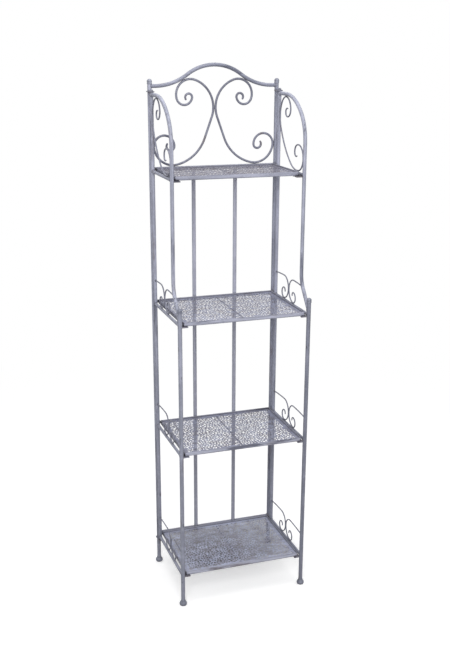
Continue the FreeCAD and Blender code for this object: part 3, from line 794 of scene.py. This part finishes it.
# %% Back scrolls
weld_lines = {}
along_x, along_y = Vector((1.0, 0.0, 0.0)), Vector((0.0, 1.0, 0.0))
back_heading = 41.5
back_bends = [(10.5, 239), (24.0, 154.5), (43.5, 124), (82.5, 91), (63.5, 0), (117.5, 58),
              (58.0, 96), (31.0, 187.5), (12.0, 227.5)]
box_low, box_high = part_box("back_scroll_right")
bar_radius = (box_high.y - box_low.y) / 2.0
start, bends = set_in_room(back_heading, back_bends, box_low.x + bar_radius, box_high.x - bar_radius,
                           box_low.z + bar_radius)
for side, sign in SIDES.items():
    bar, line = forged_bar(start, back_heading, bends, bar_radius,
                           lambda u, v: Vector((sign * u, post_y, v)), along_y)
    made = make_piece("forged_back_scroll_" + side, [bar], scroll_paint, "back_frame")
    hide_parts("back_scroll_" + side)
    weld_lines["back_scroll_" + side] = line
    print(made.name, "bar", round(2000.0 * bar_radius, 1), "mm, length", round(bar_length(bends), 3), "m")

# %% [markdown]
# ## The scrolls of the side frames
# In the top tier of each side frame stands one tall, slender C-scroll of thin bar. Under the
# lower shelves' handrails lie pairs of small ones: a tail from the upright member runs into
# three quarters of a ring and closes in two tighter curls, and the two of a pair touch back to
# back. Their plane looks along x, so here u is the depth in front of the back posts.

# %% Tall scrolls
tall_heading = 153.0
tall_bends = [(11.8, 188), (22.4, 120), (36.8, 128), (69.0, 68), (7.0, 0), (255.0, 27.5), (84.0, 45),
              (36.8, 192), (21.0, 75), (11.5, 125)]
box_low, box_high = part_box("tall_scroll_right")
bar_radius = (box_high.x - box_low.x) / 2.0
start, bends = set_in_room(tall_heading, tall_bends, post_y - box_high.y + bar_radius,
                           post_y - box_low.y - bar_radius, box_low.z + bar_radius)
for side, sign in SIDES.items():
    bar, line = forged_bar(start, tall_heading, bends, bar_radius,
                           lambda u, v: Vector((sign * side_x, post_y - u, v)), along_x, 2.5 * mm, 10)
    made = make_piece("forged_tall_scroll_" + side, [bar], scroll_paint, "side_frame_" + side)
    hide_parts("tall_scroll_" + side)
    weld_lines["tall_scroll_" + side] = line
print("tall scroll bar", round(2000.0 * bar_radius, 1), "mm")

# %% Pairs of small scrolls
ring_radius = 35.0 * mm
curls = [(16.0 * mm, -180), (9.0 * mm, -115)]
tail_turn = 6.0
weld_gap = 0.1 * mm
tail_welds = {side: [] for side in SIDES}
for n in (1, 2, 3):
    node = "scroll_pair_%d_right" % n
    box_low, box_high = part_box(node)
    small_bar_radius = (box_high.x - box_low.x) / 2.0
    bottom = box_low.z + small_bar_radius
    middle_y = (box_low.y + box_high.y) / 2.0
    stock = hoop_radius if n == 3 else post_radius
    stand_y = {1.0: upright_y, -1.0: 2.0 * middle_y - (upright_y - hoop_radius) - stock}
    pairs = {side: [] for side in SIDES}
    for facing in (1.0, -1.0):
        ring_y = middle_y + facing * (small_bar_radius + weld_gap + ring_radius)
        tail_length = abs(ring_y - stand_y[facing])
        slope = math.radians(tail_turn)
        tail_radius = tail_length / math.sin(slope)
        tail_drop = tail_radius * (1.0 - math.cos(slope))
        start = (0.0, bottom + 2.0 * ring_radius - tail_drop)
        bends = [(tail_radius, -tail_turn), (ring_radius, -180)] + curls
        for side, sign in SIDES.items():
            bar, line = forged_bar(start, tail_turn, bends, small_bar_radius,
                                   lambda u, v: Vector((sign * side_x, stand_y[facing] - facing * u, v)),
                                   along_x, 2.2 * mm, 10)
            pairs[side].append(bar)
            weld_lines["small_scroll_%d_%s_%d" % (n, side, facing)] = line
            out = Vector((0.0, -facing * math.cos(slope), math.sin(slope)))
            member_radius = hoop_radius if facing > 0.0 else stock
            foot_point = Vector((sign * side_x, stand_y[facing], start[1]))
            tail_welds[side].append((foot_point, out, member_radius, small_bar_radius))
    for side in SIDES:
        made = make_piece("forged_scroll_pair_%d_%s" % (n, side), pairs[side], scroll_paint,
                          "side_frame_" + side)
        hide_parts("scroll_pair_%d_%s" % (n, side))
print("small scrolls", sum(len(rows) for rows in tail_welds.values()))

# %% [markdown]
# ## Caps and feet
# The posts and the front legs end in domed caps with a thin lip, and stand in small bell feet
# with a ring at the neck. Both are turned work. The outline is drawn once, in millimetres from
# the solid's own lower edge, with a groove and a lip that the plain solid doesn't have.

# %% Caps and feet
cap_outline = [
    (6.35, 0.0), (7.1, 0.0), (7.5, 0.35), (7.65, 0.9), (7.5, 1.5), (7.15, 1.9), (7.1, 5.7), (7.25, 6.2),
    (7.6, 6.6), (7.7, 7.1), (7.62, 7.7), (7.3, 8.6), (6.85, 9.7), (6.1, 11.0), (5.0, 12.2), (3.6, 13.2),
    (1.9, 13.8), (0.0, 14.0), (0.0, 7.2), (6.35, 7.2)]
foot_outline = [
    (0.0, 0.0), (9.2, 0.0), (10.0, 0.35), (10.8, 1.5), (11.4, 3.2), (11.7, 5.2), (11.6, 7.0), (11.2, 8.8),
    (10.5, 10.4), (10.1, 11.0), (9.3, 11.5), (8.5, 12.5), (7.8, 13.7), (7.3, 14.6), (7.2, 15.0),
    (7.4, 15.4), (7.5, 16.0), (7.4, 16.6), (7.0, 16.95), (6.35, 17.0), (6.35, 4.2), (0.0, 4.2)]
upwards = Vector((0.0, 0.0, 1.0))
turned_pieces = [("back_finial_", cap_outline, "back_frame"), ("back_foot_", foot_outline, "back_frame"),
                 ("leg_cap_", cap_outline, None), ("leg_foot_", foot_outline, None)]
for start_of_name, outline, body in turned_pieces:
    for side in SIDES:
        node = start_of_name + side
        centre = middle(node)
        place = Vector((centre.x, centre.y, low(node).z))
        made = make_piece("turned_" + node, [turned(outline, place, upwards, 48)], cap_paint,
                          body or "side_frame_" + side, sharp=55.0)
        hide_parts(node)
print("caps and feet", 2 * len(turned_pieces))

# %% [markdown]
# ## Hinge pins and shelf pegs
# A side frame turns on two pins that stand in plates on the back post. Each pin has a shoulder
# inside the tube; its stud comes through the plate and is held by a washer and a small nut. The
# shelves turn on studs at their back corners and rest on pegs at the front, each with a collar
# under the rim and a groove near its round end. A nut is turned work with six sides.

# %% Hinge pins
pin_outline = [
    (0.0, -20.0), (3.6, -20.0), (4.2, -19.4), (4.2, 0.0), (3.0, 0.05), (3.0, 3.0), (2.6, 3.2), (2.6, 8.3),
    (2.3, 8.9), (1.6, 9.3), (0.0, 9.5)]
washer_outline = [(2.7, 3.0), (5.2, 3.0), (5.4, 3.2), (5.4, 3.7), (5.2, 3.9), (2.7, 3.9)]
nut_outline = [(2.6, 3.9), (4.3, 3.9), (4.7, 4.2), (4.7, 6.5), (4.2, 7.0), (3.2, 7.2), (2.6, 7.1)]
stud_reach = 9.5 * mm
pin_parts = []
for sign in SIDES.values():
    for way, inner_face in ((1.0, high("hinge_pins").z - stud_reach),
                            (-1.0, low("hinge_pins").z + stud_reach)):
        foot_point = Vector((sign * side_x, upright_y, inner_face))
        axis = Vector((0.0, 0.0, way))
        pin_parts += [turned(pin_outline, foot_point, axis, 24), turned(washer_outline, foot_point, axis, 28),
                      turned(nut_outline, foot_point, axis, 6)]
hinge_pieces = make_piece("bolted_hinge_pins", pin_parts, cap_paint, "back_frame", sharp=35.0)
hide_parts("hinge_pins")
print("hinge pins", len(pin_parts) // 3)

# %% Shelf pegs
peg_outline = [
    (0.0, 0.0), (3.3, 0.0), (3.3, 0.7), (2.0, 0.9), (2.0, 7.6), (1.7, 7.8), (1.7, 8.4), (2.0, 8.7),
    (2.0, 9.8), (1.5, 10.4), (0.0, 10.5)]
stud_outline = [(0.0, 0.0), (2.7, 0.0), (2.7, 0.5), (2.0, 0.7), (2.0, 5.7), (1.6, 6.2), (0.0, 6.3)]
flange_drop = 6.5 * mm
peg_inset, peg_setback = 7.0 * mm, 7.5 * mm
hinge_depth, hinge_drop = 12.0 * mm, 4.5 * mm
downwards = Vector((0.0, 0.0, -1.0))
for n in SHELVES:
    frame_low, frame_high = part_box("shelf_%d_frame" % n)
    peg_parts = []
    for sign in SIDES.values():
        peg_top = Vector((sign * (frame_high.x - peg_inset), frame_low.y + peg_setback,
                          frame_high.z - flange_drop))
        peg_parts.append(turned(peg_outline, peg_top, downwards, 20))
        stud_root = Vector((sign * frame_high.x, post_y - hinge_depth, frame_high.z - hinge_drop))
        peg_parts.append(turned(stud_outline, stud_root, Vector((sign, 0.0, 0.0)), 20))
    made = make_piece("turned_pegs_%d" % n, peg_parts, dark_peg_steel_and_shade, "shelf_%d" % n, sharp=35.0)
    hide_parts("shelf_%d_pegs" % n)
print("pegs and studs", 4 * len(SHELVES))

# %% [markdown]
# ## The welds
# A solid model joins its bars without a mark, and that is what makes it look like a drawing.
# On the real stand every joint has a small bead of weld, painted over with the rest. Where a
# round bar meets a round member the bead follows a saddle: at each angle round the bar, the
# member's surface is further out or nearer. Where a scroll only touches, a short lumpy tack
# holds it, at the nearest point between the bar's line and the solid.

# %% Saddle beads and tacks


def saddle_bead(place, member, member_radius, out, radius, bead=1.3 * mm):
    """Bead where a bar that runs out from a point of a member's axis leaves its surface."""
    across = member.cross(out).normalized()
    rise = across.cross(out)
    level = (out - member * out.dot(member)).normalized()
    rings = []
    for k, turn in enumerate(turn_round(32)):
        radial = across * math.cos(turn) + rise * math.sin(turn)
        surface = math.sqrt(max(0.0, member_radius ** 2 - (radius * math.cos(turn)) ** 2))
        reach_out = (surface - radius * math.sin(turn) * rise.dot(level)) / out.dot(level)
        centre = place + radial * radius + out * reach_out
        ripple = 1.0 + 0.10 * math.cos(math.pi * k) + 0.45 * noise.noise(centre * 300.0)
        rings.append([centre + (radial * math.cos(lean) + out * math.sin(lean)) * (bead * ripple)
                      for lean in turn_round(8)])
    return closed_rings(rings)


def tack(place, size):
    """Lumpy drop of weld."""
    steps = 6
    rings = []
    for turn in turn_round(10):
        ring = []
        for j in range(steps + 1):
            lean = math.pi * (j / steps - 0.5)
            out = Vector((math.cos(lean) * math.cos(turn), math.cos(lean) * math.sin(turn), math.sin(lean)))
            ring.append(place + out * (size * (1.0 + 0.5 * noise.noise(out * 1.3 + place * 90.0))))
        rings.append(ring + [place])
    return closed_rings(rings)


def touch_point(line, node):
    """The point of a solid's surface that is nearest to a bar's line."""
    mesh = nodes[node].data
    tree = BVHTree.FromPolygons([vertex.co for vertex in mesh.vertices],
                                [tuple(face.vertices) for face in mesh.polygons])
    nearest = min((tree.find_nearest(point) for point in line), key=lambda found: found[3])
    return nearest[0]


# %% Welds of the back frame
arch_radius = half_size("top_arch").y
arch_end_z = low("top_arch").z + arch_radius
rail_radius = half_size("top_rail").y
fine_bead, wide_bead = 1.1 * mm, 1.5 * mm
middle_tack, scroll_tack, tab_tack, thin_tack = 2.6 * mm, 2.4 * mm, 2.0 * mm, 1.7 * mm
half_tab, tab_weld_depth = 1.5 * mm, 2.0 * mm
bar_x = middle("inner_bar_right").x
inner_bar_radius = half_size("inner_bar_right").x
beads = []
for side, sign in SIDES.items():
    inwards = along_x * -sign
    beads.append(saddle_bead(Vector((sign * post_x, post_y, arch_end_z)), upwards, post_radius, inwards,
                             arch_radius, wide_bead))
    for rail, way in (("top_rail", -1.0), ("bottom_rail", 1.0)):
        rail_z = middle(rail).z
        beads.append(saddle_bead(Vector((sign * post_x, post_y, rail_z)), upwards, post_radius, inwards,
                                 rail_radius))
        beads.append(saddle_bead(Vector((sign * bar_x, post_y, rail_z)), along_x, rail_radius,
                                 upwards * way, inner_bar_radius, fine_bead))
    line = weld_lines["back_scroll_" + side]
    for node in ("top_arch", "top_rail", "back_post_" + side):
        beads.append(tack(touch_point(line, node), scroll_tack))
    for tab_z in (high("hinge_tabs").z - half_tab, low("hinge_tabs").z + half_tab):
        for step_x in (-1.0, 1.0):
            tab_x = sign * post_x + step_x * post_radius
            beads.append(tack(Vector((tab_x, post_y - tab_weld_depth, tab_z)), tab_tack))
inner_end = min(weld_lines["back_scroll_right"], key=lambda point: point.x)
beads.append(tack(Vector((0.0, post_y, inner_end.z)), middle_tack))
make_piece("weld_beads_back", beads, weld_paint, "back_frame", sharp=60.0)
print("welds in the back frame", len(beads))

# %% Welds of the side frames
landing_above = 1.3 * mm
landing_slant = math.radians(39.0)
hoop_top = high("rear_upright_right").z - hoop_radius
side_rail_radius = half_size("side_rail_1_right").x
rail_tack = 1.6 * mm
for side, sign in SIDES.items():
    beads = []
    axis_x = sign * side_x
    for n in SHELVES:
        rail_z = middle("side_rail_%d_%s" % (n, side)).z
        front_y, front_radius = (upper_leg_y, hoop_radius) if n == 4 else (leg_y, post_radius)
        for y, member_radius, out in ((upright_y, hoop_radius, -along_y), (front_y, front_radius, along_y)):
            beads.append(saddle_bead(Vector((axis_x, y, rail_z)), upwards, member_radius, out,
                                     side_rail_radius))
    beads.append(saddle_bead(Vector((axis_x, upright_y, hoop_top)), upwards, hoop_radius, -along_y,
                             hoop_radius))
    landing = Vector((0.0, math.sin(landing_slant), math.cos(landing_slant)))
    beads.append(saddle_bead(Vector((axis_x, leg_y, levels[3] + landing_above)), upwards, post_radius,
                             landing, hoop_radius, wide_bead))
    for foot_point, out, member_radius, radius in tail_welds[side]:
        beads.append(saddle_bead(foot_point, upwards, member_radius, out, radius, fine_bead))
    line = weld_lines["tall_scroll_" + side]
    for node in ("rear_upright_" + side, "side_hoop_" + side, "side_rail_4_" + side):
        beads.append(tack(touch_point(line, node), thin_tack))
    for n in (1, 2, 3):
        for facing in (1, -1):
            line = weld_lines["small_scroll_%d_%s_%d" % (n, side, facing)]
            beads.append(tack(touch_point(line, "side_rail_%d_%s" % (n, side)), rail_tack))
        pair = "scroll_pair_%d_%s" % (n, side)
        ring_z = low(pair).z + small_bar_radius + ring_radius
        beads.append(tack(Vector((axis_x, middle(pair).y, ring_z)), thin_tack))
    make_piece("weld_beads_" + side, beads, weld_paint, "side_frame_" + side, sharp=60.0)
    print("welds in the", side, "side frame", len(beads))
